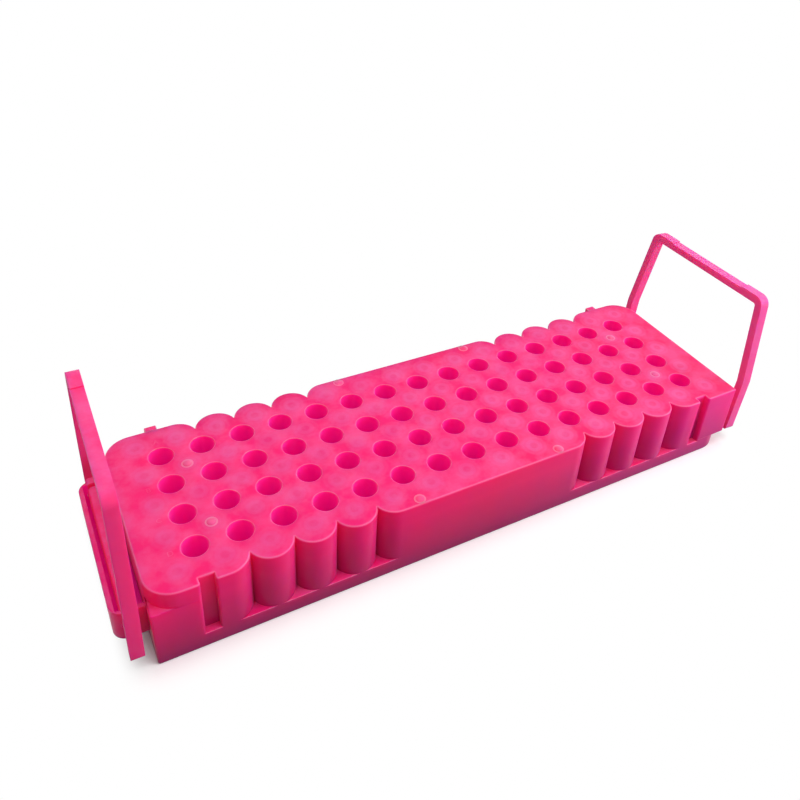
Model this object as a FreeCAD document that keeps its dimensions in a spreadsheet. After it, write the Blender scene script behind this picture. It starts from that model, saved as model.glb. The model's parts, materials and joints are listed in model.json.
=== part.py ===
import FreeCAD, Part
import math
import os

import Sketcher
from FreeCAD import Placement, Rotation, Vector

# Two-sided rack for microcentrifuge tubes, moulded in one piece from polypropylene, with a
# carrying handle that snaps into a bracket on each end.
#
# The upper side holds small tubes and the lower side large ones. The large wells stand at
# the nodes of a square grid and the small ones at the middles of its squares. Both sets are
# blind, flat-bottomed pockets that end 1 mm apart in height inside one low block. The
# block's long sides follow the outer row of large wells as scallops. Turned over on its
# long axis, the rack offers its other side.
#
# Frame, in millimetres: the origin is at the centre of the block's footprint on the table,
# +Z is up, +X runs along the block and -Y is the notched long side.

# ------------------------------------------------------------------------- dimensions
DIMENSIONS = [
    # alias, value, what it is
    ("well_pitch", 13.5, "spacing of both grids, along and across"),
    ("large_columns", 16, "large wells along the rack"),
    ("large_rows", 5, "large wells across the rack"),
    ("large_radius", 5.55, "large well"),
    ("large_depth", 14.5, "large well, from the lower face"),
    ("small_radius", 4.0, "small well"),
    ("small_depth", 11.5, "small well, from the upper plate"),
    ("body_height", 27.0, "block, table to upper plate"),
    ("end_margin", 9.75, "last large well's axis to the end face"),
    ("scallop_overlap", 0.35, "scallop radius beyond half the pitch"),
    ("skirt_height", 5.5, "plain band round the foot"),
    ("corner_radius", 9.0, "rounded upright corners"),
    ("key_height", 6.0, "rounded part of the two keyed corners"),
    ("panel_pitches", 2.5, "half length of the plain side panel, in pitches"),
    ("notch_pitches", 7.0, "notches and tabs, pitches from the middle"),
    ("notch_width", 4.5, "stacking notch, along the side"),
    ("notch_depth", 2.5, "stacking notch, into the side"),
    ("notch_clearance", 0.25, "play of a tab in a notch, each way"),
    ("bump_radius", 1.4, "stacking bump, radius at the plate"),
    ("bump_rise", 0.55, "stacking bump, height"),
    ("bump_inset", 2.2, "side bumps, axis to the side face"),
    ("handle_thickness", 4.0, "handle, along the rack"),
    ("handle_gap", 2.7, "end face to handle"),
    ("handle_top", 63.6, "top of the handle above the table, standing upright"),
    ("handle_shoulder", 28.0, "height where the legs start to slant in"),
    ("handle_foot", 5.0, "height of the legs' free ends, standing upright"),
    ("handle_inset", 0.5, "side face of the block to the leg's outer face"),
    ("leg_taper", 4.6, "how far each leg slants in at the top"),
    ("leg_width", 3.0, "leg, across the rack"),
    ("grip_depth", 3.2, "grip bar at its ends, upright"),
    ("grip_relief", 0.5, "shallower middle of the grip bar"),
    ("grip_relief_length", 37.0, "length of that middle"),
    ("grip_radius", 4.0, "outer corners of the grip bar"),
    ("grip_inner_radius", 1.0, "inner corners of the grip bar"),
    ("foot_radius", 1.0, "corners of the legs' free ends"),
    ("crossbar_height", 7.0, "crossbar, upright"),
    ("crossbar_rounding", 1.0, "long edges of the crossbar"),
    ("journal_radius", 2.0, "necks that turn in the bracket"),
    ("journal_clearance", 0.3, "play of a neck in its seat, on the radius"),
    ("journal_play", 0.4, "play of the neck's shoulders along its axis"),
    ("snap_grip", 0.2, "how far each lip of the seat overlaps a neck"),
    ("bracket_wall", 1.4, "walls and floor of the bracket"),
    ("bracket_lip_gap", 1.3, "crossbar to the bracket's outer wall"),
    ("bracket_end_gap", 3.1, "leg's inner face to the bracket's end"),
    ("bracket_rise", 5.0, "bracket's upper edge above the pivot"),
    ("bracket_drop", 5.9, "bracket's underside below the pivot"),
    ("bracket_radius", 4.0, "outer upright corners of the bracket"),
    ("left_tilt", -1.0, "left handle, degrees outwards from upright"),
    ("right_tilt", 3.0, "right handle, degrees outwards from upright"),
]

doc = FreeCAD.newDocument("TubeRack")
sheet = doc.addObject("Spreadsheet::Sheet", "Dims")
for row, (alias, value, note) in enumerate(DIMENSIONS, start=1):
    sheet.set(f"A{row}", note)
    sheet.set(f"B{row}", str(value))
    sheet.setAlias(f"B{row}", alias)
doc.recompute()


class Size:
    """A length together with the sheet formula that gives it, so each is written once."""

    def __init__(self, value, formula):
        self.value = float(value)
        self.formula = formula

    def _join(self, sign, other, value):
        other_formula = other.formula if isinstance(other, Size) else repr(other)
        return Size(value, f"({self.formula} {sign} {other_formula})")

    def __add__(self, other):
        return self._join("+", other, self.value + float(other))

    def __sub__(self, other):
        return self._join("-", other, self.value - float(other))

    def __mul__(self, other):
        return self._join("*", other, self.value * float(other))

    def __truediv__(self, other):
        return self._join("/", other, self.value / float(other))

    def __neg__(self):
        return self * -1

    def __float__(self):
        return self.value


def root(size):
    return Size(math.sqrt(size.value), f"sqrt({size.formula})")


class Dims:
    """The sheet's cells by their aliases."""


for alias, value, note in DIMENSIONS:
    setattr(Dims, alias, Size(value, f"Dims.{alias}"))

ZERO = Size(0, "0")

# Sizes that follow from the sheet.
half_length = Dims.well_pitch * (Dims.large_columns - 1) / 2 + Dims.end_margin
scallop_radius = Dims.well_pitch / 2 + Dims.scallop_overlap
outer_row = Dims.well_pitch * (Dims.large_rows - 1) / 2
half_depth = outer_row + scallop_radius
cusp = outer_row + root(scallop_radius * scallop_radius
                        - Dims.well_pitch * Dims.well_pitch / 4)
notch_x = Dims.well_pitch * Dims.notch_pitches
tab_width = Dims.notch_width - Dims.notch_clearance * 2
tab_reach = Dims.notch_depth - Dims.notch_clearance
pivot_x = half_length + Dims.handle_gap + Dims.handle_thickness / 2
pivot_z = Dims.body_height / 2
leg_out = half_depth - Dims.handle_inset
leg_in = leg_out - Dims.leg_width
bracket_half = leg_in - Dims.bracket_end_gap
bracket_inner = bracket_half - Dims.bracket_wall
lip_inner = pivot_x + Dims.handle_thickness / 2 + Dims.bracket_lip_gap
lip_outer = lip_inner + Dims.bracket_wall
bracket_floor = pivot_z - Dims.bracket_drop
bracket_top = pivot_z + Dims.bracket_rise
seat_radius = Dims.journal_radius + Dims.journal_clearance
half_throat = Dims.journal_radius - Dims.snap_grip


# ---------------------------------------------------------------------------- helpers
def bind(obj, **sizes):
    """Sets properties to sizes and ties each to its sheet formula."""
    for name, size in sizes.items():
        setattr(obj, name, size.value)
        obj.setExpression(name, size.formula)


def origin_part(body, role):
    return next(f for f in body.Origin.OriginFeatures if f.Role == role)


def new_sketch(body, name, plane, shift=(ZERO, ZERO, ZERO)):
    """A sketch on one of the body's own origin planes, its origin shifted in that plane
    and, third, along the plane's normal."""
    sketch = body.newObject("Sketcher::SketchObject", name)
    sketch.AttachmentSupport = [(origin_part(body, plane), "")]
    sketch.MapMode = "FlatFace"
    sketch.AttachmentOffset = Placement(Vector(*(float(s) for s in shift)), Rotation())
    for axis, size in zip("xyz", shift):
        if size is not ZERO:
            sketch.setExpression(f".AttachmentOffset.Base.{axis}", size.formula)
    return sketch


def pin(sketch, direction, geometry, point, size):
    """Holds one coordinate of a point: on the axis, or at a distance from the origin."""
    if size is ZERO:
        axis = -2 if direction == "X" else -1
        sketch.addConstraint(Sketcher.Constraint("PointOnObject", geometry, point, axis))
        return
    ends = (-1, 1, geometry, point) if size.value > 0 else (geometry, point, -1, 1)
    size = size if size.value > 0 else -size
    tie(sketch, Sketcher.Constraint(f"Distance{direction}", *ends, size.value), size)


def tie(sketch, constraint, size):
    index = sketch.addConstraint(constraint)
    name = f"size{index}"
    sketch.renameConstraint(index, name)
    sketch.setExpression(f"Constraints.{name}", size.formula)


def outline(sketch, corners, arcs=None):
    """One closed profile through the corners. arcs maps a side, by the number of the
    corner it leaves, to (centre, radius, anticlockwise); the other sides are straight."""
    arcs = arcs or {}
    places = [Vector(float(x), float(y), 0) for x, y in corners]
    sides = []
    for i, start in enumerate(places):
        end = places[(i + 1) % len(places)]
        if i in arcs:
            (cx, cy), radius, anticlockwise = arcs[i]
            centre = Vector(float(cx), float(cy), 0)
            a, b = (start, end) if anticlockwise else (end, start)
            angles = [math.atan2(p.y - centre.y, p.x - centre.x) for p in (a, b)]
            if angles[1] <= angles[0]:
                angles[1] += 2 * math.pi
            circle = Part.Circle(centre, Vector(0, 0, 1), float(radius))
            side = sketch.addGeometry(Part.ArcOfCircle(circle, *angles), False)
            sides.append((side, 1, 2) if anticlockwise else (side, 2, 1))
        else:
            side = sketch.addGeometry(Part.LineSegment(start, end), False)
            sides.append((side, 1, 2))
    for i, (side, first, last) in enumerate(sides):
        following, begin, _ = sides[(i + 1) % len(sides)]
        sketch.addConstraint(Sketcher.Constraint("Coincident", side, last,
                                                 following, begin))
    held = {"X": set(), "Y": set()}
    for i, (side, first, last) in enumerate(sides):
        for direction, size in zip("XY", corners[i]):
            if i not in held[direction]:
                pin(sketch, direction, side, first, size)
                held[direction].add(i)
        after = (i + 1) % len(sides)
        if i in arcs:
            radius = arcs[i][1]
            tie(sketch, Sketcher.Constraint("Radius", side, radius.value), radius)
            continue
        for direction, word in (("X", "Vertical"), ("Y", "Horizontal")):
            same = corners[i]["XY".index(direction)].formula \
                == corners[after]["XY".index(direction)].formula
            if same and after not in held[direction]:
                sketch.addConstraint(Sketcher.Constraint(word, side))
                held[direction].add(after)


def circle(sketch, radius):
    """A circle round the sketch's origin."""
    disc = Part.Circle(Vector(0, 0, 0), Vector(0, 0, 1), radius.value)
    sketch.addGeometry(disc, False)
    sketch.addConstraint(Sketcher.Constraint("Coincident", 0, 3, -1, 1))
    tie(sketch, Sketcher.Constraint("Radius", 0, radius.value), radius)


def box_outline(sketch, x0, y0, x1, y1):
    outline(sketch, [(x0, y0), (x1, y0), (x1, y1), (x0, y1)])


def rounded_box_outline(sketch, half_x, half_y, radius):
    x, y, r = half_x, half_y, radius
    outline(sketch,
            [(-x + r, -y), (x - r, -y), (x, -y + r), (x, y - r),
             (x - r, y), (-x + r, y), (-x, y - r), (-x, -y + r)],
            {1: ((x - r, -y + r), r, True), 3: ((x - r, y - r), r, True),
             5: ((-x + r, y - r), r, True), 7: ((-x + r, -y + r), r, True)})


def pad(body, name, sketch, length, both_ways=False):
    feature = body.newObject("PartDesign::Pad", name)
    feature.Profile = sketch
    bind(feature, Length=length)
    feature.SideType = "Symmetric" if both_ways else "One side"
    return finish(body, feature, grows=True)


def pocket(body, name, sketch, length, both_ways=False):
    """Cuts along the sketch's normal, or as far each way when both_ways is set."""
    feature = body.newObject("PartDesign::Pocket", name)
    feature.Profile = sketch
    bind(feature, Length=length)
    feature.SideType = "Symmetric" if both_ways else "One side"
    feature.Reversed = not both_ways
    return finish(body, feature, grows=False)


def turn(body, kind, name, sketch):
    """A full turn of a half profile round the sketch's own upright axis."""
    feature = body.newObject(f"PartDesign::{kind}", name)
    feature.Profile = sketch
    feature.ReferenceAxis = (sketch, ["V_Axis"])
    feature.Angle = 360
    return finish(body, feature, grows=kind == "Revolution")


def finish(body, feature, grows):
    """Recomputes and makes sure that the feature added, or removed, material."""
    before = feature.BaseFeature.Shape.Volume if feature.BaseFeature else 0.0
    body.Tip = feature
    doc.recompute()
    change = feature.Shape.Volume - before
    if (change <= 1e-6) if grows else (change >= -1e-6):
        raise RuntimeError(f"{feature.Name} changes the volume by {change:.3f}")
    return feature


def row_of(body, name, axis, count, formula=None):
    """One step of a transformation: copies along an axis at the well pitch."""
    step = body.newObject("PartDesign::LinearPattern", name)
    step.Direction = (origin_part(body, axis), [""])
    step.Mode = "Spacing"
    bind(step, Offset=Dims.well_pitch)
    step.Occurrences = count
    if formula is not None:
        step.setExpression("Occurrences", formula)
    return step


def mirror_of(body, name, plane):
    step = body.newObject("PartDesign::Mirrored", name)
    step.MirrorPlane = (origin_part(body, plane), [""])
    return step


def transform(body, name, features, steps):
    """Repeats features through every combination of the steps."""
    multi = body.newObject("PartDesign::MultiTransform", name)
    multi.Originals = features
    multi.Transformations = steps
    body.Tip = multi
    doc.recompute()
    return multi


def grid(body, name, feature, columns, rows):
    """Repeats a feature along X and Y at the well pitch."""
    steps = [row_of(body, f"{name}{axis[0]}", axis, int(count.value), count.formula)
             for axis, count in (("X_Axis", columns), ("Y_Axis", rows))]
    return transform(body, name, [feature], steps)


def mirror(body, name, features, *planes):
    """Mirrors features in the body's origin planes."""
    steps = [mirror_of(body, f"{name}{plane[:2]}", plane) for plane in planes]
    return transform(body, name, features, steps)


def round_edges(body, name, radius, chosen):
    """Rounds the edges of the body's latest shape for which chosen(edge) is true."""
    base = body.Tip
    names = [f"Edge{i}" for i, edge in enumerate(base.Shape.Edges, start=1)
             if chosen(edge)]
    feature = body.newObject("PartDesign::Fillet", name)
    feature.Base = (base, names)
    bind(feature, Radius=radius)
    body.Tip = feature
    doc.recompute()
    return feature


# -------------------------------------------------------------------------- rack body
# The block: square upright corners first, then each corner rounded over its own height.
# The two notched-side corners are keys: one is rounded only at the top and the other only
# at the foot, so the rack shows at a glance which way round it lies.
rack = doc.addObject("PartDesign::Body", "RackBody")
rack.Label = "rack_body"

sketch = new_sketch(rack, "Footprint", "XY_Plane")
box_outline(sketch, -half_length, -half_depth, half_length, half_depth)
pad(rack, "Block", sketch, Dims.body_height)


def corner_cut(name, side_x, side_y, bottom, height):
    """Takes one upright corner off outside its radius."""
    x, y, r = half_length * side_x, half_depth * side_y, Dims.corner_radius
    sketch = new_sketch(rack, f"{name}Profile", "XY_Plane", (ZERO, ZERO, bottom))
    centre = (x - r * side_x, y - r * side_y)
    outline(sketch, [(centre[0], y), (x, y), (x, centre[1])],
            {2: (centre, r, side_x * side_y > 0)})
    pocket(rack, name, sketch, height)


corner_cut("CornerFarRight", 1, 1, ZERO, Dims.body_height)
corner_cut("CornerFarLeft", -1, 1, ZERO, Dims.body_height)
corner_cut("KeyRight", 1, -1, ZERO, Dims.key_height)
corner_cut("KeyLeft", -1, -1, Dims.body_height - Dims.key_height, Dims.key_height)

# Scallops: between two neighbouring outer wells the side is cut back to their two arcs,
# which meet in a sharp upright cusp. The cuts stop at the skirt, at the plain panel in the
# middle and one pitch short of the end wells.
first = Dims.well_pitch * (Dims.panel_pitches + 0.5)
before, after = first - Dims.well_pitch / 2, first + Dims.well_pitch / 2
sketch = new_sketch(rack, "CuspProfile", "XY_Plane", (ZERO, ZERO, Dims.skirt_height))
outline(sketch,
        [(before, half_depth), (first, cusp), (after, half_depth),
         (after, half_depth + 1), (before, half_depth + 1)],
        {0: ((before, outer_row), scallop_radius, False),
         1: ((after, outer_row), scallop_radius, False)})
cusp_cut = pocket(rack, "CuspCut", sketch, Dims.body_height)
cusps = Dims.large_columns / 2 - Dims.panel_pitches - 1.5
transform(rack, "Scallops", [cusp_cut],
          [row_of(rack, "ScallopRow", "X_Axis", int(cusps.value), cusps.formula),
           mirror_of(rack, "ScallopYZ", "YZ_Plane"),
           mirror_of(rack, "ScallopXZ", "XZ_Plane")])

# Stacking notches on one long side, and on the other the tabs that fit them.
sketch = new_sketch(rack, "NotchProfile", "XY_Plane", (ZERO, ZERO, Dims.skirt_height))
box_outline(sketch, notch_x - Dims.notch_width / 2, -half_depth,
            notch_x + Dims.notch_width / 2, -half_depth + Dims.notch_depth)
notch = pocket(rack, "Notch", sketch, Dims.body_height)
mirror(rack, "Notches", [notch], "YZ_Plane")

sketch = new_sketch(rack, "TabProfile", "XY_Plane", (ZERO, ZERO, Dims.skirt_height))
box_outline(sketch, notch_x - tab_width / 2, half_depth - Dims.notch_depth,
            notch_x + tab_width / 2, half_depth + tab_reach)
tab = pad(rack, "Tab", sketch, Dims.body_height - Dims.skirt_height - Dims.notch_clearance)
mirror(rack, "Tabs", [tab], "YZ_Plane")

# Brackets: an open-topped channel on each end, with a keyhole in both of its end walls.
# A neck of the handle is pressed down through the narrow throat and turns in the hole.
sketch = new_sketch(rack, "BracketPlan", "XY_Plane", (ZERO, ZERO, bracket_floor))
r = Dims.bracket_radius
x0, x1, y1 = half_length, lip_outer, bracket_half
outline(sketch,
        [(x0, -y1), (x1 - r, -y1), (x1, -y1 + r), (x1, y1 - r), (x1 - r, y1), (x0, y1)],
        {1: ((x1 - r, -y1 + r), r, True), 3: ((x1 - r, y1 - r), r, True)})
bracket = pad(rack, "Bracket", sketch, bracket_top - bracket_floor)

sketch = new_sketch(rack, "ChannelPlan", "XY_Plane",
                    (ZERO, ZERO, bracket_floor + Dims.bracket_wall))
box_outline(sketch, half_length, -bracket_inner, lip_inner, bracket_inner)
channel = pocket(rack, "Channel", sketch, Dims.body_height)

seat_meet = root(seat_radius * seat_radius - half_throat * half_throat)
sketch = new_sketch(rack, "KeyholeProfile", "XZ_Plane", (pivot_x, pivot_z, ZERO))
outline(sketch,
        [(-half_throat, seat_meet), (half_throat, seat_meet),
         (half_throat, Dims.bracket_rise + 1), (-half_throat, Dims.bracket_rise + 1)])
throat = pocket(rack, "Throat", sketch, bracket_half * 2 + 2, both_ways=True)
sketch = new_sketch(rack, "SeatProfile", "XZ_Plane", (pivot_x, pivot_z, ZERO))
circle(sketch, seat_radius)
seat = pocket(rack, "Seat", sketch, bracket_half * 2 + 2, both_ways=True)
mirror(rack, "Brackets", [bracket, channel, throat, seat], "YZ_Plane")

# Small bumps that keep a stacked rack from sliding.
def bump(name, x, y):
    sketch = new_sketch(rack, f"{name}Profile", "XZ_Plane", (x, Dims.body_height, -y))
    r, rise = Dims.bump_radius, Dims.bump_rise
    dome = (r * r + rise * rise) / (rise * 2)
    outline(sketch, [(ZERO, ZERO), (r, ZERO), (ZERO, rise)],
            {1: ((ZERO, rise - dome), dome, True)})
    return turn(rack, "Revolution", name, sketch)


mirror(rack, "EndBumps", [bump("EndBump", notch_x - Dims.well_pitch / 2, Dims.well_pitch)],
       "YZ_Plane", "XZ_Plane")
mirror(rack, "SideBumps", [bump("SideBump", Dims.well_pitch * 2,
                                half_depth - Dims.bump_inset)],
       "YZ_Plane", "XZ_Plane")

# Large wells, from below.
sketch = new_sketch(rack, "LargeWellProfile", "XY_Plane",
                    (-(Dims.well_pitch * (Dims.large_columns - 1) / 2), -outer_row, ZERO))
circle(sketch, Dims.large_radius)
well = pocket(rack, "LargeWell", sketch, Dims.large_depth)
grid(rack, "LargeWells", well, Dims.large_columns, Dims.large_rows)

# Small wells, from above, one between every four large ones.
sketch = new_sketch(rack, "SmallWellProfile", "XY_Plane",
                    (-(Dims.well_pitch * (Dims.large_columns - 2) / 2),
                     -(Dims.well_pitch * (Dims.large_rows - 2) / 2),
                     Dims.body_height - Dims.small_depth))
circle(sketch, Dims.small_radius)
well = pocket(rack, "SmallWell", sketch, Dims.small_depth)
grid(rack, "SmallWells", well, Dims.large_columns - 1, Dims.large_rows - 1)


# ---------------------------------------------------------------------------- handles
# Each handle is one moulding: a trapezoid loop whose legs run past the crossbar to free
# ends. The crossbar is necked down where it turns in the bracket's end walls. It is drawn
# about its pivot axis, Y.
def make_handle(name, label, side, tilt):
    handle = doc.addObject("PartDesign::Body", name)
    handle.Label = label
    top, foot = Dims.handle_top - pivot_z, Dims.handle_foot - pivot_z
    shoulder = Dims.handle_shoulder - pivot_z
    grip_out = leg_out - Dims.leg_taper
    slope = Dims.leg_taper / (top - shoulder)
    grip_in = grip_out - Dims.leg_width + slope * Dims.grip_depth
    relief = Dims.grip_relief_length / 2
    sketch = new_sketch(handle, f"{name}Loop", "YZ_Plane")
    outline(sketch,
            [(leg_in, foot), (leg_out, foot), (leg_out, shoulder), (grip_out, top),
             (relief, top), (relief, top - Dims.grip_relief),
             (-relief, top - Dims.grip_relief), (-relief, top),
             (-grip_out, top), (-leg_out, shoulder), (-leg_out, foot), (-leg_in, foot),
             (-leg_in, shoulder), (-grip_in, top - Dims.grip_depth),
             (grip_in, top - Dims.grip_depth), (leg_in, shoulder)])
    pad(handle, f"{name}Frame", sketch, Dims.handle_thickness, both_ways=True)

    def upright_corner(y, z):
        corner = Vector(0, float(y), float(z))
        return lambda e: all(abs(v.Point.y - corner.y) < 1e-4
                             and abs(v.Point.z - corner.z) < 1e-4 for v in e.Vertexes)

    for label_, radius, y, z in (
            ("GripCorner", Dims.grip_radius, grip_out, top),
            ("GripInner", Dims.grip_inner_radius, grip_in, top - Dims.grip_depth),
            ("FootOuter", Dims.foot_radius, leg_out, foot),
            ("FootInner", Dims.foot_radius, leg_in, foot)):
        near, far = upright_corner(y, z), upright_corner(-y, z)
        round_edges(handle, f"{name}{label_}", radius, lambda e: near(e) or far(e))

    sketch = new_sketch(handle, f"{name}AxleProfile", "XZ_Plane")
    circle(sketch, Dims.journal_radius)
    pad(handle, f"{name}Axle", sketch, leg_in * 2 + Dims.leg_width, both_ways=True)

    half_x, half_z = Dims.handle_thickness / 2, Dims.crossbar_height / 2
    sketch = new_sketch(handle, f"{name}BarProfile", "XZ_Plane")
    rounded_box_outline(sketch, half_x, half_z, Dims.crossbar_rounding)
    pad(handle, f"{name}Crossbar", sketch, (bracket_inner - Dims.journal_play) * 2,
        both_ways=True)

    hub_start = bracket_half + Dims.journal_play
    sketch = new_sketch(handle, f"{name}HubProfile", "XZ_Plane",
                        (ZERO, ZERO, hub_start))
    rounded_box_outline(sketch, half_x, half_z, Dims.crossbar_rounding)
    hub = pad(handle, f"{name}Hub", sketch, leg_in - hub_start + Dims.leg_width / 2)
    mirror(handle, f"{name}Hubs", [hub], "XZ_Plane")

    handle.setExpression("Placement", f"placement(vector({(pivot_x * side).formula}; 0; "
                         f"{pivot_z.formula}); rotation(vector(0; {side}; 0); "
                         f"{tilt.formula}))")
    return handle


# Each handle stands where its friction left it, turned a little about its pivot.
make_handle("HandleLeft", "handle_left", -1, Dims.left_tilt)
make_handle("HandleRight", "handle_right", 1, Dims.right_tilt)

# ------------------------------------------------------------------- checks and export
doc.recompute()
for obj in doc.Objects:
    if "Invalid" in obj.State or "Error" in obj.State:
        raise RuntimeError(f"{obj.Name} is {obj.State}")

os.makedirs("parts", exist_ok=True)
bodies = [obj for obj in doc.Objects if obj.isDerivedFrom("PartDesign::Body")]
for body in bodies:
    shape = body.Shape
    if shape.isNull() or not shape.isValid() or len(shape.Solids) != 1:
        raise RuntimeError(f"{body.Label} isn't one valid solid")
for body in bodies:
    body.Shape.exportStep(f"parts/{body.Label}.step")
    box = body.Shape.BoundBox
    print(f"{body.Label}: {body.Shape.Volume:.0f} mm3, "
          f"{box.XLength:.2f} x {box.YLength:.2f} x {box.ZLength:.2f} mm")
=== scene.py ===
import json
import math

import bmesh
import bpy
from mathutils import Matrix, Vector
from mathutils.geometry import delaunay_2d_cdt


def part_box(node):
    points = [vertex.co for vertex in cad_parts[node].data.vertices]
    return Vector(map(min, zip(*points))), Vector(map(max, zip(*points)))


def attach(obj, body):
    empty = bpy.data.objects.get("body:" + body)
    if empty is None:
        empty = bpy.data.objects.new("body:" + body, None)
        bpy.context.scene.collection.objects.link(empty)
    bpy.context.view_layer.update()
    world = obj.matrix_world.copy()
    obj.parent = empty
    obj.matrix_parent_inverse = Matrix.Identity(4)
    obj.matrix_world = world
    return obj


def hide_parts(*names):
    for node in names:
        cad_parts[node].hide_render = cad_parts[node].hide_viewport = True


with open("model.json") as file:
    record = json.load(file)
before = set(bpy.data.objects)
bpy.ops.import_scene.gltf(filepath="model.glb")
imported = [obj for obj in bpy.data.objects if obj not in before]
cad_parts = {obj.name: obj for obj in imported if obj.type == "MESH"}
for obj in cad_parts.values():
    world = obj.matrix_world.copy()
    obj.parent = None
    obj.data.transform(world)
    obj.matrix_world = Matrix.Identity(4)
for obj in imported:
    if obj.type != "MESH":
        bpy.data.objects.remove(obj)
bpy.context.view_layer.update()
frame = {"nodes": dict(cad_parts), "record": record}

# ------------------------------------------------------------------ rack body
# One injection moulding in translucent hot-pink polypropylene: a low block with small
# tapered wells in its upper plate and large ones in its underside. Its edges are
# softly rounded, as the mould leaves them.
MM = 0.001
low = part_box("rack_body")[0]
# The front row of small wells gives the pitch and the plate's height.
mouths = sorted((o["box_m"] for o in frame["record"]["physics"]["openings"]
                 if o["name"].startswith("small_well_front")), key=lambda b: b[0][0])
middles = [(a[0] + b[0]) / 2 / MM for a, b in mouths]
small_columns = len(middles)
pitch = (middles[-1] - middles[0]) / (small_columns - 1)
plate = mouths[0][1][2] / MM              # height of the upper face
rows = 5                                  # large wells across the rack
half_depth = -low[1] / MM
outer_row = pitch * (rows - 1) / 2
lobe = half_depth - outer_row             # radius of the scallops round the outer wells
end_margin = 9.75                         # last large well's axis to the end face
half_length = middles[-1] + pitch / 2 + end_margin
skirt = 5.5                               # height of the plain band round the foot
rim = 0.6                                 # rounding of the plate's edge
foot_edge = 0.3                           # rounding of the lower edge
soft, corner = 0.75, 9.0                  # radii of the square corners and the round ones
key = 6.0                                 # height over which a near corner is round
notch_x, notch_width, notch_depth = 94.5, 4.5, 2.5


def fan(x, out, first, last, steps, radius=0.0):
    """Stations on an arc, or turning on the spot where the radius is 0: place along the
    side, place outwards, and the normal there."""
    stations = []
    for i in range(steps + 1):
        a = math.radians(first + (last - first) * i / steps)
        stations.append((x + radius * math.cos(a), out + radius * math.sin(a),
                         math.cos(a), math.sin(a)))
    return stations


def side_stations(notched):
    """One long side from its left to its right end."""
    stations = []

    def notch(x):
        left, right, floor = x - notch_width / 2, x + notch_width / 2, half_depth - notch_depth
        stations.extend(fan(left - soft, half_depth - soft, 90, 0, 4, soft))
        stations.extend(fan(left, floor, 0, 90, 2))
        stations.extend(fan(right, floor, 90, 180, 2))
        stations.extend(fan(right + soft, half_depth - soft, 180, 90, 4, soft))

    reach = math.degrees(math.asin(pitch / 2 / lobe))
    cusp = outer_row + math.sqrt(lobe ** 2 - pitch ** 2 / 4)
    centres = [pitch * (2.5 + i) for i in range(5)]
    if notched:
        notch(-notch_x)
    for group in ([-c for c in reversed(centres)], centres):
        for i, c in enumerate(group):
            if i:
                stations.extend(fan(c, outer_row, 90 + reach, 90, 9, lobe))
            if i < len(group) - 1:
                stations.extend(fan(c, outer_row, 90, 90 - reach, 9, lobe))
                stations.extend(fan(c + pitch / 2, cusp, 90 - reach, 90 + reach, 4))
    if notched:
        notch(notch_x)
    return stations


def plan(cut, near_left, near_right):
    """The block's outline, anticlockwise from above, as (x, y, normal x, normal y). Its
    length never changes, so outlines at two heights join point to point. cut tells the
    scalloped outline from the plain one, and the rest are the keyed corners' radii."""
    points = []

    def side(sign, notched):
        for x, out, nx, nout in side_stations(notched):
            if not cut:
                out, nx, nout = half_depth, 0.0, 1.0
            points.append((sign * x, -sign * out, sign * nx, -sign * nout))

    def turn(sx, sy, radius, first):
        x, y = sx * (half_length - radius), sy * (half_depth - radius)
        points.extend(fan(x, y, first, first + 90, 10, radius))

    side(1, True)
    turn(1, -1, near_right, -90)
    turn(1, 1, corner, 0)
    side(-1, False)
    turn(-1, 1, corner, 90)
    turn(-1, -1, near_left, 180)
    return points


def inset(points, depths, z):
    """The outline at height z, moved inwards by one depth or by a depth for each point."""
    if not isinstance(depths, list):
        depths = [depths] * len(points)
    return [Vector((x - nx * d, y - ny * d, z)) for (x, y, nx, ny), d in zip(points, depths)]


def step(levels, z, under, over, radius=0.35):
    """A ledge at height z from one outline to the next, its free edge rounded."""
    wide = [min(1.0, math.hypot(a[0] - b[0], a[1] - b[1]) / (3 * radius))
            for a, b in zip(under, over)]
    below = sum(abs(a[0]) + abs(a[1]) for a in under) > sum(abs(a[0]) + abs(a[1]) for a in over)
    ring = under if below else over
    edge = [inset(ring, [radius * w * (1 - math.cos(t)) for w in wide],
                  z + (-1 if below else 1) * radius * (1 - math.sin(t)))
            for t in (0.0, 0.6, 1.1, math.pi / 2)]
    if below:
        levels += edge + [inset(over, 0.0, z)]
    else:
        levels += [inset(under, 0.0, z)] + edge[::-1]


foot_plan = plan(False, soft, corner)
low_plan = plan(True, soft, corner)
mid_plan = plan(True, soft, soft)
top_plan = plan(True, corner, soft)
levels = [inset(foot_plan, foot_edge, 0.0),
          inset(foot_plan, 0.3 * foot_edge, 0.3 * foot_edge),
          inset(foot_plan, 0.0, foot_edge)]
step(levels, skirt, foot_plan, low_plan)
step(levels, key, low_plan, mid_plan)
step(levels, plate - key, mid_plan, top_plan)
levels += [inset(top_plan, rim * (1 - math.cos(t)), plate - rim * (1 - math.sin(t)))
           for t in (0.0, 0.35, 0.75, 1.15, math.pi / 2)]


def add_node(tree, kind, inputs=(), **settings):
    """Adds a node with its settings. inputs are values, or the outputs that feed them,
    in order or by name or number. Gives the node's outputs."""
    node = tree.nodes.new(kind)
    for name, value in settings.items():
        setattr(node, name, value)
    for name, value in inputs.items() if isinstance(inputs, dict) else enumerate(inputs):
        if isinstance(value, bpy.types.NodeSocket):
            tree.links.new(value, node.inputs[name])
        else:
            node.inputs[name].default_value = value
    return node.outputs


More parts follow.
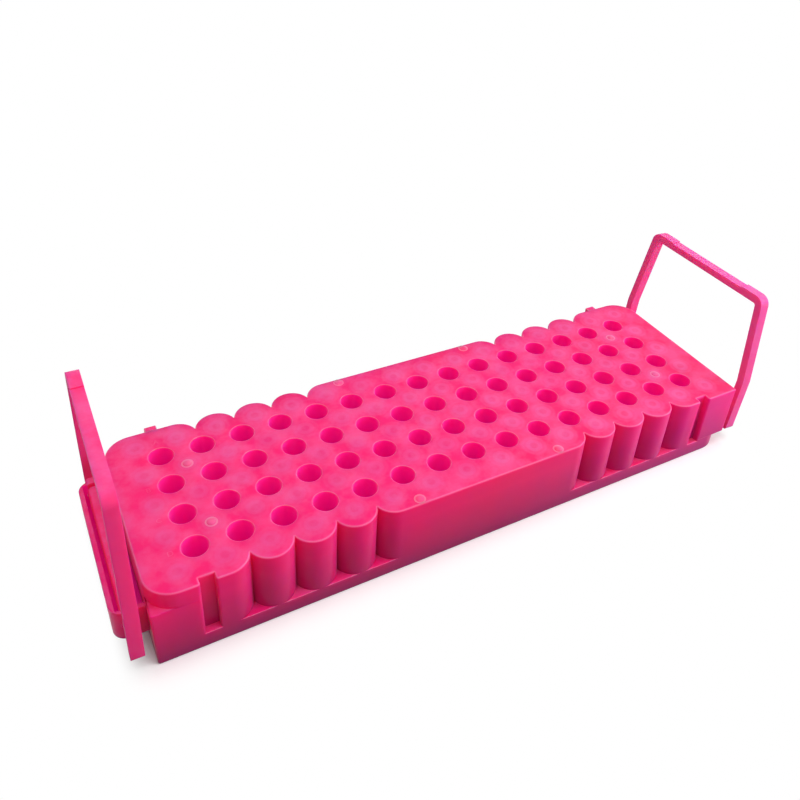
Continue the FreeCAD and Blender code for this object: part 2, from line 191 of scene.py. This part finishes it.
def turned_grid(stations):
    """Geometry Nodes: a turned form, given by the radius and height of each station of
    its profile, repeated on a rectangular grid."""
    tree = bpy.data.node_groups.new("turned_grid", "GeometryNodeTree")
    sockets = tree.interface
    sockets.new_socket("Geometry", in_out="OUTPUT", socket_type="NodeSocketGeometry")
    profile = [f"{what} {i}" for what in ("Radius", "Height") for i in range(stations)]
    for name, kind in ([("Columns", "Int"), ("Rows", "Int"), ("Sides", "Int"),
                        ("Span X", "Float"), ("Span Y", "Float"), ("Material", "Material")]
                       + [(name, "Float") for name in profile]):
        sockets.new_socket(name, in_out="INPUT", socket_type=f"NodeSocket{kind}")
    given = add_node(tree, "NodeGroupInput")
    # A flat sheet, 1 by 1: X on it becomes the angle round the axis, and Y the station
    # along the profile.
    around = add_node(tree, "ShaderNodeMath", (given["Sides"], 1.0), operation="ADD")[0]
    sheet = add_node(tree, "GeometryNodeMeshGrid", (1.0, 1.0, around, stations))["Mesh"]
    position = add_node(tree, "GeometryNodeInputPosition")[0]
    where = add_node(tree, "ShaderNodeSeparateXYZ", (position,))
    share = add_node(tree, "ShaderNodeMath", (where["Y"], stations - 1.0, (stations - 1) / 2),
                     operation="MULTIPLY_ADD")[0]
    station = add_node(tree, "ShaderNodeMath", (share,), operation="ROUND")[0]
    angle = add_node(tree, "ShaderNodeMath", (where["X"], 2 * math.pi, math.pi),
                     operation="MULTIPLY_ADD")[0]
    # Each point takes the radius and the height of its own station.
    chosen = []
    for what in ("Radius", "Height"):
        switch = add_node(tree, "GeometryNodeIndexSwitch", {"Index": station},
                          data_type="FLOAT")[0].node
        while len(switch.index_switch_items) < stations:
            switch.index_switch_items.new()
        for i in range(stations):
            tree.links.new(given[f"{what} {i}"], switch.inputs[i + 1])
        chosen.append(switch.outputs[0])
    radius, height = chosen
    cosine = add_node(tree, "ShaderNodeMath", (angle,), operation="COSINE")[0]
    sine = add_node(tree, "ShaderNodeMath", (angle,), operation="SINE")[0]
    x = add_node(tree, "ShaderNodeMath", (radius, cosine), operation="MULTIPLY")[0]
    y = add_node(tree, "ShaderNodeMath", (radius, sine), operation="MULTIPLY")[0]
    place = add_node(tree, "ShaderNodeCombineXYZ", (x, y, height))[0]
    form = add_node(tree, "GeometryNodeSetPosition", {"Geometry": sheet, "Position": place})[0]
    # The seam and the pole are closed before the form is repeated.
    closed = add_node(tree, "GeometryNodeMergeByDistance",
                      {"Geometry": form, "Distance": 1e-4})[0]
    posts = add_node(tree, "GeometryNodeMeshGrid", (given["Span X"], given["Span Y"],
                                                    given["Columns"], given["Rows"]))["Mesh"]
    copies = add_node(tree, "GeometryNodeInstanceOnPoints",
                      {"Points": posts, "Instance": closed})[0]
    real = add_node(tree, "GeometryNodeRealizeInstances", (copies,))[0]
    dressed = add_node(tree, "GeometryNodeSetMaterial",
                       {"Geometry": real, "Material": given["Material"]})[0]
    add_node(tree, "NodeGroupOutput", (dressed,))
    return tree


def grow(tree, name, profile, **sizes):
    """Evaluates the tree with this profile and these sizes, and gives its plain mesh."""
    for i, (radius, height) in enumerate(profile):
        sizes[f"radius_{i}"], sizes[f"height_{i}"] = radius, height
    holder = bpy.data.objects.new(name, bpy.data.meshes.new(name))
    bpy.context.collection.objects.link(holder)
    grower = holder.modifiers.new("grow", "NODES")
    grower.node_group = tree
    for item in tree.interface.items_tree:
        if item.in_out == "INPUT":
            grower[item.identifier] = sizes[item.name.replace(" ", "_").lower()]
    mesh = bpy.data.meshes.new_from_object(
        holder.evaluated_get(bpy.context.evaluated_depsgraph_get()))
    bpy.data.objects.remove(holder)
    return mesh


def linear(hex_colour):
    """sRGB hex to the linear colour that a shader socket takes."""
    channels = [int(hex_colour[i:i + 2], 16) / 255 for i in (1, 3, 5)]
    return [c / 12.92 if c <= 0.04045 else ((c + 0.055) / 1.055) ** 2.4
            for c in channels] + [1.0]


def polypropylene(name, colour, warm, sheen_cloud_colour, deep=None, inner=None, lit=0.085, glow=8.0,
                  satin=0.37):
    """Moulded polypropylene, waxy and satin: light passes into it for about glow
    millimetres, and faces that the mesh marks get a painted highlight in a paler pink.
    The skin drifts from colour to warm, and haze, a paler pink, is painted in clouds on
    faces that look up: partly a cloudy skin, partly a painted reflection of the bright
    surroundings. deep holds painted shade, a wall's darker colours low down, on the left
    half and at the right end. inner is a colour painted inside a well or channel, and lit
    the strength of a painted glow there, both standing in for the light that comes in
    through the plastic. satin is the roughness."""
    material = bpy.data.materials.new(name)
    material.use_nodes = True
    tree = material.node_tree
    surface = tree.nodes["Principled BSDF"]
    # The pigment lets red travel furthest. Inside a well or channel a glow of bluer pink is
    # painted in, for light that has come through several walls.
    for socket, value in (("IOR", 1.49), ("Subsurface Weight", 1.0 if glow else 0.0),
                          ("Subsurface Radius", (1.0, 0.12, 0.35)),
                          ("Subsurface Scale", glow * MM), ("Specular IOR Level", 0.1),
                          ("Sheen Weight", 0.04), ("Sheen Roughness", 0.45),
                          ("Emission Color", linear("#FF00BC")),
                          ("Emission Strength", lit if inner else 0.0)):
        surface.inputs[socket].default_value = value
    place = add_node(tree, "ShaderNodeTexCoord")["Object"]
    axes = add_node(tree, "ShaderNodeSeparateXYZ", (place,))
    normal = add_node(tree, "ShaderNodeNewGeometry")["Normal"]
    facing = add_node(tree, "ShaderNodeSeparateXYZ", (normal,))["Z"]
    # Cloudy patches of 9 mm, where the melt cooled unevenly, a drift of the colour over
    # 70 mm, and the grain of the mould's steel, drawn coarser than life at 1.1 mm.
    clouds, drift, grain = [
        add_node(tree, "ShaderNodeTexNoise", {"Vector": place, "Scale": 1 / (size * MM),
                                              "Detail": detail, "Roughness": rough})["Fac"]
        for size, detail, rough in ((9, 4.0, 0.6), (70, 1.0, 0.5), (1.1, 2.0, 0.5))]
    warmer = add_node(tree, "ShaderNodeMapRange", (drift, 0.42, 0.6, 0.0, 1.0))[0]
    skin = add_node(tree, "ShaderNodeMix", {0: warmer, 6: linear(colour), 7: linear(warm)},
                    data_type="RGBA")[2]
    # upward is 1 on faces that look up and 0 on walls.
    upward = add_node(tree, "ShaderNodeMapRange", (facing, 0.6, 0.9, 0.0, 1.0))[0]
    # Clouds of haze painted on faces that look up: partly a cloudy skin, partly a painted
    # reflection of the bright surroundings.
    sheen_clouds = add_node(tree, "ShaderNodeMapRange", (clouds, 0.38, 0.64, 0.0, 0.62))[0]
    sheen_clouds = add_node(tree, "ShaderNodeMath", (sheen_clouds, upward), operation="MULTIPLY")[0]
    skin = add_node(tree, "ShaderNodeMix", {0: sheen_clouds, 6: skin, 7: linear(sheen_cloud_colour)},
                    data_type="RGBA")[2]
    height = add_node(tree, "ShaderNodeMath", (grain, 0.25, clouds),
                      operation="MULTIPLY_ADD")[0]
    # level is 0 at the foot and 1 at the plate.
    level = add_node(tree, "ShaderNodeMath", (axes["Z"], plate * MM), operation="DIVIDE")[0]
    if deep:
        # Each large well's tip shows through the plate as faint rings, centred between
        # the small wells. away is the distance from there, 1 halfway to the next centre.
        offsets = []
        for axis, shift in (("X", 0.0), ("Y", 0.5)):
            offset = add_node(tree, "ShaderNodeMath", (axes[axis], 1 / (pitch * MM), shift),
                              operation="MULTIPLY_ADD")[0]
            offset = add_node(tree, "ShaderNodeMath", (offset,), operation="FRACT")[0]
            offsets.append(add_node(tree, "ShaderNodeMath", (offset, 2.0, -1.0),
                                    operation="MULTIPLY_ADD")[0])
        away = add_node(tree, "ShaderNodeCombineXYZ", offsets)[0]
        away = add_node(tree, "ShaderNodeVectorMath", (away,), operation="LENGTH")["Value"]
        tip = add_node(tree, "ShaderNodeValToRGB", (away,))["Color"]
        rings = tip.node.color_ramp
        rings.interpolation = "EASE"
        rings.elements.remove(rings.elements[1])
        rings.elements[0].color = (0.45, 0.45, 0.45, 1.0)
        for radius, pale in ((0.14, 0.36), (0.26, 0.80), (0.38, 0.72), (0.48, 0.32),
                             (0.58, 0.36), (0.74, 0.0)):
            rings.elements.new(radius).color = (pale, pale, pale, 1.0)
        shown = add_node(tree, "ShaderNodeMath", (tip, upward), operation="MULTIPLY")[0]
        patchy = add_node(tree, "ShaderNodeMapRange", (drift, 0.4, 0.6, 0.28, 0.5))[0]
        patchy = add_node(tree, "ShaderNodeMath", (shown, patchy), operation="MULTIPLY")[0]
        skin = add_node(tree, "ShaderNodeMix", {0: patchy, 6: skin, 7: linear("#FA6FB0")},
                        data_type="RGBA")[2]
        height = add_node(tree, "ShaderNodeMath", (shown, 0.3, height),
                          operation="MULTIPLY_ADD")[0]
        # Painted light and shade on the walls: a paler, cooler pink painted from the middle to
        # the right end, for the stronger light there, and painted shade, a deeper colour, lower
        # down.
        end = add_node(tree, "ShaderNodeMapRange",
                       (axes["X"], 0.0, half_length * MM, 0.0, 1.0))[0]
        shade = add_node(tree, "ShaderNodeMix",
                         {0: end, 6: linear(deep[0]), 7: linear(deep[1])},
                         data_type="RGBA")[2]
        flatness = add_node(tree, "ShaderNodeMath", (facing,), operation="ABSOLUTE")[0]
        wall = add_node(tree, "ShaderNodeMapRange", (flatness, 0.6, 0.9, 1.0, 0.0))[0]
        painted_right_light = add_node(tree, "ShaderNodeMath", (end, wall), operation="MULTIPLY")[0]
        skin = add_node(tree, "ShaderNodeMix", {0: painted_right_light, 6: skin, 7: linear("#FF2A90")},
                        data_type="RGBA")[2]
        below = add_node(tree, "ShaderNodeMapRange", (level, 0.08, 0.75, 1.0, 0.0))[0]
        below = add_node(tree, "ShaderNodeMath", (below, wall), operation="MULTIPLY")[0]
        skin = add_node(tree, "ShaderNodeMix", {0: below, 6: skin, 7: shade},
                        data_type="RGBA")[2]
    if inner:
        # The inner colour, painted light, starts just below the plate and is full about 4 mm
        # down.
        inside = add_node(tree, "ShaderNodeMapRange", (level, 0.84, 0.975, 1.0, 0.0))[0]
        skin = add_node(tree, "ShaderNodeMix", {0: inside, 6: skin, 7: linear(inner)},
                        data_type="RGBA")[2]
    # A painted highlight: the mesh's attribute says how pale a face is painted, from 0 to 1,
    # and 1 is half way to the palest pink.
    edge = add_node(tree, "ShaderNodeAttribute", attribute_name="painted_highlight")["Fac"]
    edge = add_node(tree, "ShaderNodeMath", (edge, 0.5), operation="MULTIPLY")[0]
    skin = add_node(tree, "ShaderNodeMix", {0: edge, 6: skin, 7: linear("#FF9CB8")},
                    data_type="RGBA")[2]
    tree.links.new(skin, surface.inputs["Base Color"])
    # The clouds vary the satin a little, and with the grain they give it relief.
    matt = add_node(tree, "ShaderNodeMapRange",
                    (clouds, 0.3, 0.7, satin - 0.05, satin + 0.05))[0]
    tree.links.new(matt, surface.inputs["Roughness"])
    relief = add_node(tree, "ShaderNodeBump",
                      {"Height": height, "Strength": 0.5, "Distance": 0.1 * MM})["Normal"]
    tree.links.new(relief, surface.inputs["Normal"])
    return material


# Seen from outside, the block glows evenly, and painted shade darkens its walls towards
# its foot. In the wells a deeper pink and a faint glow are painted in for the light that
# has come through the plastic, the stronger glow in the small ones under the lit plate.
body_finish = polypropylene("polypropylene_moulded_pink", "#FA1C74", "#FA226C", "#FA5A98",
                            deep=("#A80E5C", "#BC1674"))
well_finish = polypropylene("polypropylene_cored_pink", "#FF2494", "#FF248C", "#FF2AA0",
                            inner="#FF24A0")
large_well_finish = polypropylene("polypropylene_cored_deep_pink", "#FF2494", "#FF248C",
                                  "#FF2AA0", inner="#FF24A0", lit=0.02)


def well_profile(mouth, inward, radius, edge, wall, tip_radius, tip_depth):
    """Profile of a moulded tube well, from its mouth inwards: an edge rounded by edge, a
    straight wall down to the depth wall, a taper, and a blunt tip."""
    depths = [(radius + edge, 0.0), (radius + 0.5 * edge, 0.134 * edge),
              (radius + 0.134 * edge, 0.5 * edge), (radius, edge),
              (radius * 0.98, wall), (tip_radius, tip_depth - 0.6 * tip_radius),
              (tip_radius * 0.7, tip_depth - 0.15 * tip_radius), (0.0, tip_depth)]
    return [(r, mouth + inward * depth) for r, depth in depths]


turned = turned_grid(stations=8)
small_grid = dict(columns=small_columns, rows=rows - 1, sides=40, material=well_finish,
                  span_x=pitch * (small_columns - 1), span_y=pitch * (rows - 2))
large_grid = dict(columns=small_columns + 1, rows=rows, sides=36, material=large_well_finish,
                  span_x=pitch * small_columns, span_y=pitch * (rows - 1))
small_shape = dict(radius=4.0, edge=0.35, wall=7.0, tip_radius=1.6, tip_depth=24.0)
large_shape = dict(radius=5.55, edge=0.3, wall=14.5, tip_radius=2.3, tip_depth=25.2)
small_mouth, large_mouth = [shape["radius"] + shape["edge"]
                            for shape in (small_shape, large_shape)]
small_wells = grow(turned, "small_wells", well_profile(plate, -1, **small_shape), **small_grid)
large_wells = grow(turned, "large_wells", well_profile(0.0, 1, **large_shape), **large_grid)

# Low domes that steady a stacked rack: four near the ends and four along the sides.
# A low collar runs round each. The profile gives radii and heights above the plate.
dome_inset = 2.2
dome = [(1.95, 0.0), (1.75, 0.07), (1.45, 0.05), (1.3, 0.2), (1.0, 0.38), (0.68, 0.48),
        (0.34, 0.54), (0.0, 0.55)]
domes = [dict(columns=2, rows=2, sides=20, span_x=2 * x, span_y=2 * y, material=body_finish)
         for x, y in ((notch_x - pitch / 2, pitch), (2 * pitch, half_depth - dome_inset))]
dome_meshes = [grow(turned, "domes", [(r, plate + z) for r, z in dome], **sizes)
               for sizes in domes]


def bands(form, levels):
    """Skins a stack of outlines of equal length."""
    rings = [[form.verts.new(p) for p in level] for level in levels]
    for under, over in zip(rings, rings[1:]):
        for i in range(len(under)):
            j = (i + 1) % len(under)
            form.faces.new((under[i], under[j], over[j], over[i]))


def cap(form, outline, z, grids):
    """Closes the block at height z between the outline and the turned forms there, each
    grid of them given with its radius. Faces that would cover a form are left out."""
    ring = []
    for p in outline:
        if not ring or (p - ring[-1]).length > 1e-3:
            ring.append(p.copy())
    points = [p.to_2d() for p in ring]
    edges = [(i, (i + 1) % len(ring)) for i in range(len(ring))]
    centres = []
    for sizes, mouth in grids:
        for i in range(sizes["columns"]):
            for j in range(sizes["rows"]):
                cx = (i / (sizes["columns"] - 1) - 0.5) * sizes["span_x"]
                cy = (j / (sizes["rows"] - 1) - 0.5) * sizes["span_y"]
                centres.append((cx, cy, mouth * 0.995))
                first = len(points)
                for k in range(sizes["sides"]):
                    a = 2 * math.pi * k / sizes["sides"]
                    points.append(Vector((cx + mouth * math.cos(a), cy + mouth * math.sin(a))))
                    edges.append((first + k, first + (k + 1) % sizes["sides"]))
    places, _, faces, *_ = delaunay_2d_cdt(points, edges, [], 1, 1e-5)
    made = [form.verts.new((p.x, p.y, z)) for p in places]
    for face in faces:
        x = sum(places[i].x for i in face) / len(face)
        y = sum(places[i].y for i in face) / len(face)
        if all(math.hypot(x - cx, y - cy) > clear for cx, cy, clear in centres):
            form.faces.new([made[i] for i in face])


form = bmesh.new()
painted_highlight = form.faces.layers.float.new("painted_highlight")
for slot, meshes in enumerate((dome_meshes, (small_wells,), (large_wells,))):
    for mesh in meshes:
        first = len(form.faces)
        form.from_mesh(mesh)
        form.faces.ensure_lookup_table()
        for face in form.faces[first:]:
            face.material_index = slot
bands(form, levels)
dome_foot = dome[0][0]
cap(form, levels[-1], plate,
    [(small_grid, small_mouth)] + [(sizes, dome_foot) for sizes in domes])
cap(form, levels[0], 0.0, [(large_grid, large_mouth)])
bmesh.ops.remove_doubles(form, verts=form.verts, dist=0.004)
bmesh.ops.dissolve_degenerate(form, edges=form.edges, dist=0.002)
bmesh.ops.recalc_face_normals(form, faces=form.faces)

# Painted highlights on the edges. The plate's rim and the small wells' mouths are painted
# palest half way round their rounding, and a mouth's rounding has the plate's finish. The
# domes have a painted pale collar and a fainter painted highlight over the rest, and the
# band round the foot a painted pale upper edge.
palest = 0.72
mouth_pale, collar_pale, dome_pale, band_pale = 0.8, 0.9, 0.35, 0.7
for face in form.faces:
    z = face.calc_center_median().z
    deep = plate - z
    if 0.005 < deep < (small_shape["edge"] if face.material_index else rim):
        face[painted_highlight] = max(0.0, 1.0 - 3.0 * abs(face.normal.z - palest))
        if face.material_index:
            face[painted_highlight] *= mouth_pale
            face.material_index = 0
    elif deep < -0.02:
        face[painted_highlight] = collar_pale if deep > -0.1 else dome_pale
    elif abs(z - skirt) < 0.4 and 0.3 < face.normal.z < 0.97:
        face[painted_highlight] = band_pale


def add_cad_part(form, node, keep, edge, pale, inward=None):
    """Adds the faces of a CAD node that keep() wants, merged and softly edged, and paints a
    highlight on those edges, as pale there as pale says. An open hem is carried on inward,
    into the block."""
    part = bmesh.new()
    part.from_mesh(frame["nodes"][node].data)
    part_painted_highlight = part.faces.layers.float.new("painted_highlight")
    bmesh.ops.scale(part, vec=(1 / MM,) * 3, verts=part.verts)
    bmesh.ops.remove_doubles(part, verts=part.verts, dist=0.002)
    bmesh.ops.delete(part, geom=[f for f in part.faces if not keep(f.calc_center_median())],
                     context="FACES")
    # Flat triangles are joined, so that only real edges are left to soften.
    bmesh.ops.dissolve_limit(part, angle_limit=math.radians(2), verts=part.verts,
                             edges=part.edges)
    hem = [e for e in part.edges if e.is_boundary]
    if hem:
        grown = bmesh.ops.extrude_edge_only(part, edges=hem)["geom"]
        for v in grown:
            if isinstance(v, bmesh.types.BMVert):
                v.co += inward(v.co)
        bmesh.ops.holes_fill(part, edges=[e for e in part.edges if e.is_boundary])
        bmesh.ops.recalc_face_normals(part, faces=part.faces)
    sharp = [e for e in part.edges if len(e.link_faces) == 2
             and e.calc_face_angle() > math.radians(28)]
    made = bmesh.ops.bevel(part, geom=sharp, offset=edge, segments=3, profile=0.5,
                           affect="EDGES", clamp_overlap=True)
    for face in made["faces"]:
        face[part_painted_highlight] = pale
    mesh = bpy.data.meshes.new("part")
    part.to_mesh(mesh)
    part.free()
    form.from_mesh(mesh)
    bpy.data.meshes.remove(mesh)


def finish_piece(name, form, materials, body):
    """Makes the form, drawn in millimetres, one smooth piece in metres on a body."""
    bmesh.ops.scale(form, vec=(MM,) * 3, verts=form.verts)
    mesh = bpy.data.meshes.new(name)
    form.to_mesh(mesh)
    form.free()
    for material in materials:
        mesh.materials.append(material)
    mesh.shade_smooth()
    mesh.set_sharp_from_angle(angle=math.radians(40))
    piece = bpy.data.objects.new(name, mesh)
    bpy.context.collection.objects.link(piece)
    even = piece.modifiers.new("even_shading", "WEIGHTED_NORMAL")
    even.keep_sharp = True
    piece.data = bpy.data.meshes.new_from_object(
        piece.evaluated_get(bpy.context.evaluated_depsgraph_get()))
    piece.modifiers.clear()
    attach(piece, body)
    return piece


rack_block = finish_piece("rack_block", form, (body_finish, well_finish, large_well_finish),
                          "rack")
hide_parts("rack_body")

# ------------------------------------------------------------------ end brackets and tabs
# Moulded in one with the block: at each end a channel with the open seats that the
# handle's journals snap into, and on the far side two tabs that key into a turned
# rack's notches.
# The walls here are thin, so light spreads less far in them and they look duller.
thin_finish = polypropylene("polypropylene_thin_pink", "#FA2480", "#FA3070", "#FA5A98",
                            glow=2.5)
# Inside the channel a paler pink and a glow are painted in, painted light where the channel
# lies in shade.
channel_finish = polypropylene("polypropylene_channel_pink", "#FF2C90", "#FF2C88",
                               "#FF40A0", inner="#FF2C90", lit=0.11, glow=2.5)
margin = 0.05                             # leaves out the block's own faces
bracket_edge = 0.3
root = 0.6                                # how far a bracket or tab reaches into the block
form = bmesh.new()
# The brackets' softened edges get a painted highlight.
add_cad_part(form, "rack_body", lambda c: abs(c.x) > half_length + margin,
             edge=bracket_edge, pale=0.35,
             inward=lambda v: Vector((-math.copysign(root, v.x), 0, 0)))

# The channel's finish, with its painted glow, goes on the faces that look towards its
# middle. Those beyond outer_face belong to the bracket's outer side.
channel_x, channel_z = 115.4, 15.0
outer_face = 119.3
for face in form.faces:
    middle = face.calc_center_median()
    channel = Vector((math.copysign(channel_x, middle.x), 0, channel_z))
    if face.normal.dot(channel - middle) > 0.5 and abs(middle.x) < outer_face:
        face.material_index = 1
finish_piece("end_brackets", form, (thin_finish, channel_finish), "rack")

form = bmesh.new()
# The tabs' softened edges get a full-strength painted highlight.
add_cad_part(form, "rack_body", lambda c: c.y > half_depth + margin,
             edge=bracket_edge, pale=1.0, inward=lambda v: Vector((0, -root, 0)))
finish_piece("stacking_tabs", form, (thin_finish,), "rack")

# ------------------------------------------------------------------ row letters
# Small raised letters beside the first well of each row, cut into the mould and so
# part of the same moulding.
# Too small to glow: only the pale skin of the plastic shows.
letter_finish = polypropylene("polypropylene_raised_mark", "#FB3A84", "#FB3A80", "#FC70A8",
                              glow=0.0)
letter_size, letter_height = 2.5, 0.1
to_left, to_rear = 7.0, 7.1               # from the axis of the row's first well
form = bmesh.new()
for letter, x, y in (("A", 0.0, 1.5 * pitch + to_rear), ("B", -to_left, 0.5 * pitch),
                     ("C", -to_left, -0.5 * pitch), ("D", -to_left, -1.5 * pitch)):
    text = bpy.data.curves.new("row_letter", "FONT")
    text.body = letter
    text.size = letter_size
    text.extrude = letter_height
    text.align_x, text.align_y = "CENTER", "CENTER"
    holder = bpy.data.objects.new("row_letter", text)
    bpy.context.collection.objects.link(holder)
    mesh = bpy.data.meshes.new_from_object(
        holder.evaluated_get(bpy.context.evaluated_depsgraph_get()))
    bpy.data.objects.remove(holder)
    mesh.transform(Matrix.Translation((middles[0] + x, y, plate)))
    form.from_mesh(mesh)
bmesh.ops.remove_doubles(form, verts=form.verts, dist=0.001)
finish_piece("row_letters", form, (letter_finish,), "rack")

# ------------------------------------------------------------------ handles
# Two loops moulded in the same polypropylene, thin enough to pass more light. Each one
# snaps into its bracket: two round necks sit in the seats, and it swings on them.
# The right loop is painted a paler, bluer pink than the left: painted light, for the stronger
# light on the right. Each loop's softened edges get a faint painted highlight.
for side, colour, warm in (("left", "#FF3882", "#FF3C86"), ("right", "#FF60AE", "#FF589E")):
    handle_finish = polypropylene(f"polypropylene_{side}_handle", colour, warm, "#FC66A8",
                                  glow=3.0, satin=0.55)
    form = bmesh.new()
    add_cad_part(form, f"handle_{side}", lambda c: True, edge=0.45, pale=0.15)
    loop = finish_piece(f"{side}_handle_loop", form, (handle_finish,), f"{side}_handle")
    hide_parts(f"handle_{side}")

# ------------------------------------------------------------------ floor
# A plain white paper sweep. The camera and reflections see it white with the rack's
# soft shadow on it; as a light source it is a duller grey.
sheet = bpy.data.meshes.new("floor")
reach, drop = 3.0, -0.0001
shadow_reach = 11.0                       # the shadow fades to white this far from the rack
sheet.from_pydata([(-reach, -reach, drop), (reach, -reach, drop), (reach, reach, drop),
                   (-reach, reach, drop)], [], [(0, 1, 2, 3)])
floor = bpy.data.objects.new("floor", sheet)
bpy.context.collection.objects.link(floor)
paper = bpy.data.materials.new("paper_sweep_white")
paper.use_nodes = True
tree = paper.node_tree
tree.nodes.clear()
path = add_node(tree, "ShaderNodeLightPath")
seen = add_node(tree, "ShaderNodeMath", (path["Is Camera Ray"], path["Is Glossy Ray"]),
                operation="MAXIMUM")[0]
seen = add_node(tree, "ShaderNodeMath", (seen, path["Is Transmission Ray"]),
                operation="MAXIMUM")[0]
dull = add_node(tree, "ShaderNodeBsdfDiffuse", {"Color": linear("#787878")})[0]
white = add_node(tree, "ShaderNodeBsdfDiffuse", {"Color": linear("#FFFFFF")})[0]
bright = add_node(tree, "ShaderNodeEmission", (linear("#FFFFFF"), 1.0))[0]
where = add_node(tree, "ShaderNodeTexCoord")["Object"]
beside = add_node(tree, "ShaderNodeVectorMath", (where,), operation="ABSOLUTE")[0]
beside = add_node(tree, "ShaderNodeVectorMath",
                  (beside, (half_length * MM, half_depth * MM, 0.0)), operation="SUBTRACT")[0]
beside = add_node(tree, "ShaderNodeVectorMath", (beside, (0.0, 0.0, 0.0)),
                  operation="MAXIMUM")[0]
far = add_node(tree, "ShaderNodeVectorMath", (beside,), operation="LENGTH")["Value"]
fade = add_node(tree, "ShaderNodeMapRange", (far, 0.0, shadow_reach * MM, 0.0, 1.0),
                interpolation_type="SMOOTHSTEP")[0]
shadow = add_node(tree, "ShaderNodeMixShader", (fade, white, bright))[0]
whole = add_node(tree, "ShaderNodeMixShader", (seen, dull, shadow))[0]
add_node(tree, "ShaderNodeOutputMaterial", {"Surface": whole})
sheet.materials.append(paper)

# ------------------------------------------------------------------ light
# One broad soft box overhead, a smaller one low at the front right, and an even pale
# surround. Places and sizes are in metres, and powers in watts.
for name, place, size, power in (("overhead", (0.15, -0.1, 0.95), 0.7, 4.5),
                                 ("right_fill", (0.6, -0.4, 0.28), 0.4, 3.8)):
    box = bpy.data.lights.new(name, "AREA")
    box.shape = "SQUARE"
    box.size = size
    box.energy = power
    lamp = bpy.data.objects.new(name, box)
    lamp.location = place
    lamp.rotation_euler = lamp.location.to_track_quat("Z", "Y").to_euler()
    bpy.context.collection.objects.link(lamp)

world = bpy.data.worlds.new("studio")
bpy.context.scene.world = world
world.use_nodes = True
surround = world.node_tree
surround.nodes.clear()
path = add_node(surround, "ShaderNodeLightPath")
seen = add_node(surround, "ShaderNodeMath", (path["Is Camera Ray"], path["Is Glossy Ray"]),
                operation="MAXIMUM")[0]
seen = add_node(surround, "ShaderNodeMath", (seen, path["Is Transmission Ray"]),
                operation="MAXIMUM")[0]
lit = add_node(surround, "ShaderNodeBackground", (linear("#FFFFFF"), 0.52))[0]
white = add_node(surround, "ShaderNodeBackground", (linear("#FFFFFF"), 1.0))[0]
whole = add_node(surround, "ShaderNodeMixShader", (seen, lit, white))[0]
add_node(surround, "ShaderNodeOutputWorld", {"Surface": whole})

# ------------------------------------------------------------------ camera
# Looks down on the rack from its front left, about 32 degrees above the table, with a
# moderately wide lens. The shift sets where in the frame the rack lies.
lens = bpy.data.cameras.new("view")
lens.sensor_width = 36.0
lens.lens = 36.469
lens.shift_x = -0.03161
lens.shift_y = -0.12827
right = Vector((0.87569, -0.478625, 0.063922))
down = Vector((-0.208834, -0.494745, -0.843573))
forward = Vector((0.43538, 0.725359, -0.533196))
eye = Vector((-123.091, -185.923, 216.031)) * MM
camera = bpy.data.objects.new("view", lens)
camera.matrix_world = (Matrix.Translation(eye)
                       @ Matrix((right, -down, -forward)).transposed().to_4x4())
bpy.context.collection.objects.link(camera)
bpy.context.scene.camera = camera
bpy.context.scene.view_settings.view_transform = "Standard"
